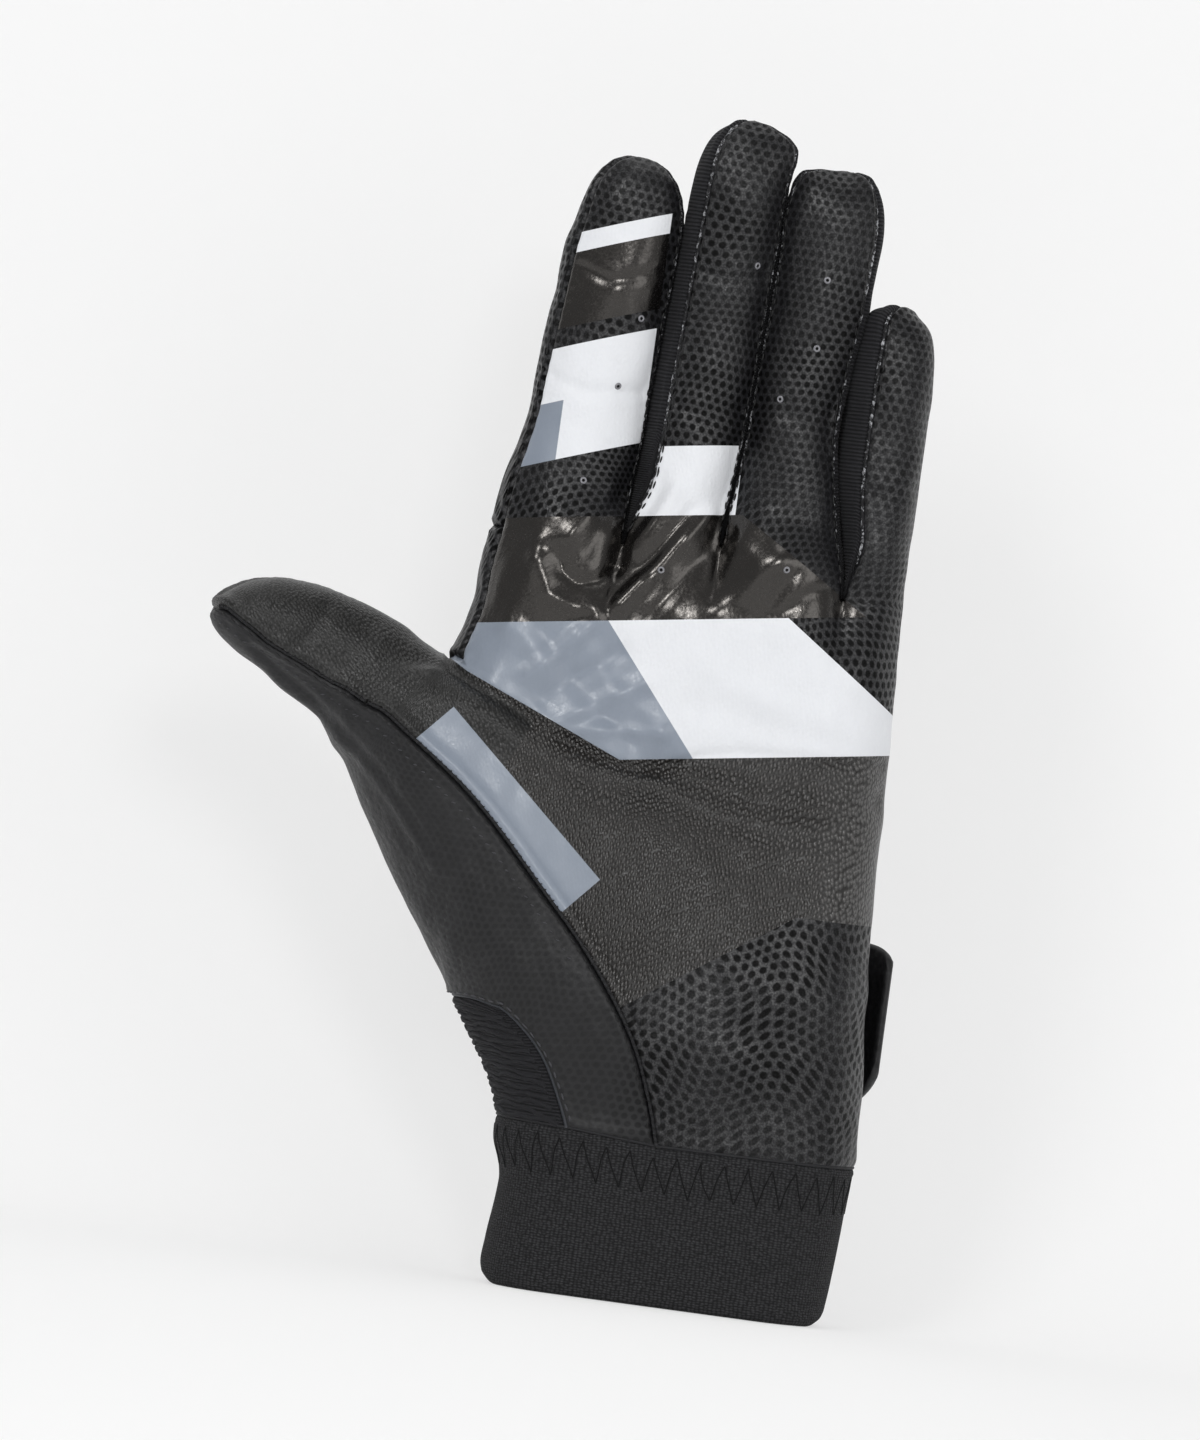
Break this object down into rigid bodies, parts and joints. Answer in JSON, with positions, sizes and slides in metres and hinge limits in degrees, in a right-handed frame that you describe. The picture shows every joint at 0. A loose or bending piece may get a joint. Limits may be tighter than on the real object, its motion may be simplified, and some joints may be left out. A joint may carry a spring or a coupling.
{
  "type": "batting glove",
  "caption": "Left-hand batting glove shown full as on a hand: leather palm, stretch side strips, elastic cuff and a peel-open wrist strap",
  "frame": {"origin": "middle of the wrist opening, level with the lower edge of the cuff", "axes": "+Z runs from the cuff to the fingertips, the palm faces -Y and the back of the hand +Y, and the thumb points toward -X"},
  "size_m": [0.1456, 0.0428, 0.235],
  "materials": {
    "palm_leather": "soft goatskin palm leather, with smooth white, blue-grey and gloss black colour blocks",
    "printed_leather": "charcoal synthetic leather with a fine black dot print",
    "ribbed_stretch": "black ribbed stretch fabric",
    "mesh_fabric": "black ribbed mesh fabric",
    "elastic_knit": "black elastic knit",
    "binding_tape": "folded binding tape",
    "strap_leather": "charcoal synthetic leather strap",
    "hook_tape": "hook tape",
    "loop_tape": "loop tape",
    "moulded_rubber": "plain moulded rubber, matt"
  },
  "bodies": {
    "glove": {"palm_panel": "palm_leather", "index_middle_fourchette": "ribbed_stretch", "index_back": "printed_leather", "middle_ring_fourchette": "ribbed_stretch", "middle_back": "printed_leather", "ring_pinky_fourchette": "ribbed_stretch", "ring_back": "printed_leather", "pinky_back": "printed_leather", "thumb_mesh_gusset": "mesh_fabric", "thumb_outer_panel": "printed_leather", "back_panel": "printed_leather", "slit_binding_right": "binding_tape", "wrist_gusset": "elastic_knit", "slit_binding_left": "binding_tape", "knuckle_flex_panel": "ribbed_stretch", "cuff_hem": "elastic_knit", "cuff_band": "elastic_knit", "cuff_tape": "binding_tape", "back_loop_pad": "loop_tape", "strap_anchor": "strap_leather"},
    "index_fingertip": {"index_tip_front": "palm_leather", "index_tip_right": "ribbed_stretch", "index_tip_back": "printed_leather"},
    "middle_fingertip": {"middle_tip_front": "palm_leather", "middle_tip_right": "ribbed_stretch", "middle_tip_back": "printed_leather", "middle_tip_left": "ribbed_stretch"},
    "ring_fingertip": {"ring_tip_front": "palm_leather", "ring_tip_right": "ribbed_stretch", "ring_tip_back": "printed_leather", "ring_tip_left": "ribbed_stretch"},
    "pinky_fingertip": {"pinky_tip_front": "palm_leather", "pinky_tip_back": "printed_leather", "pinky_tip_left": "ribbed_stretch"},
    "thumb_fingertip": {"thumb_tip_outer": "printed_leather", "thumb_tip_front": "palm_leather"},
    "strap": {"wrist_strap": "strap_leather", "strap_hook_pad": "hook_tape", "strap_pull_tab": "moulded_rubber"}
  },
  "joints": [
    {"name": "index_knuckle", "type": "hinge", "parent": "glove", "child": "index_fingertip", "pos_m": [-0.0369, -0.01075, 0.1768], "axis": [0.9968, 0, -0.0802], "range_deg": [0, 80]},
    {"name": "middle_knuckle", "type": "hinge", "parent": "glove", "child": "middle_fingertip", "pos_m": [-0.0149, -0.01085, 0.177], "axis": [0.9989, 0, -0.0471], "range_deg": [0, 80]},
    {"name": "ring_knuckle", "type": "hinge", "parent": "glove", "child": "ring_fingertip", "pos_m": [0.0046, -0.01057, 0.1773], "axis": [0.9986, 0, -0.0523], "range_deg": [0, 80]},
    {"name": "pinky_knuckle", "type": "hinge", "parent": "glove", "child": "pinky_fingertip", "pos_m": [0.0227, -0.00952, 0.16973], "axis": [1, 0, 0], "range_deg": [0, 80]},
    {"name": "thumb_knuckle", "type": "hinge", "parent": "glove", "child": "thumb_fingertip", "pos_m": [-0.07485, -0.00285, 0.12967], "axis": [0, 1, 0], "range_deg": [0, 60]},
    {"name": "strap_peel", "type": "hinge", "parent": "glove", "child": "strap", "pos_m": [-0.02275, 0.01665, 0.059], "axis": [0, -0.0335, 0.9994], "range_deg": [0, 150]}
  ]
}
